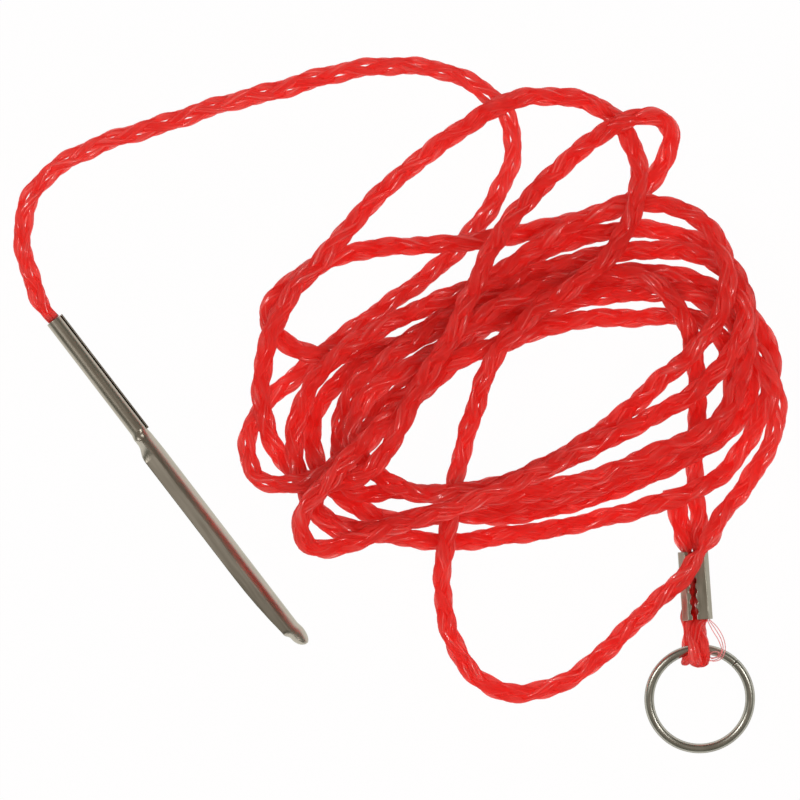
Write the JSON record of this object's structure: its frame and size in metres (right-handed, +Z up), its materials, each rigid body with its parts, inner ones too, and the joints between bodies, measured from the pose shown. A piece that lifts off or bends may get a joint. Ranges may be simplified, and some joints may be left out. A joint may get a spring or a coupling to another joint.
{
  "type": "fish stringer",
  "caption": "Braided cord lying in a loose heap, with a pointed sheet metal threading needle at one end and a steel ring in a crimped eye at the other.",
  "frame": {"origin": "On the surface it lies on, at the middle of the box round needle, eye, ferrule and ring. The free cord isn't counted.", "axes": "+Z up from the surface it lies on, +Y from the ring towards the top of the heap, +X towards the ring's side. The needle points down and to the right in plan."},
  "size_m": [0.177, 0.1599, 0.0203],
  "materials": {
    "needle_steel": "tarnished, drawn lengthwise",
    "cord": "glossy braided filament",
    "ferrule_steel": "dull, creased",
    "ring_steel": "plated wire"
  },
  "bodies": {
    "line": {"needle": "needle_steel", "cord_socket_end": "cord", "cord_lead": "cord", "cord_heap": "cord", "cord_eye": "cord", "crimp_ferrule": "ferrule_steel"},
    "ring": {"ring": "ring_steel"}
  },
  "joints": [
    {"name": "ring_swing", "type": "hinge", "parent": "line", "child": "ring", "pos_m": [0.0686, -0.02644, 0.00445], "axis": [-1, 0, 0], "range_deg": [0, 150]}
  ]
}
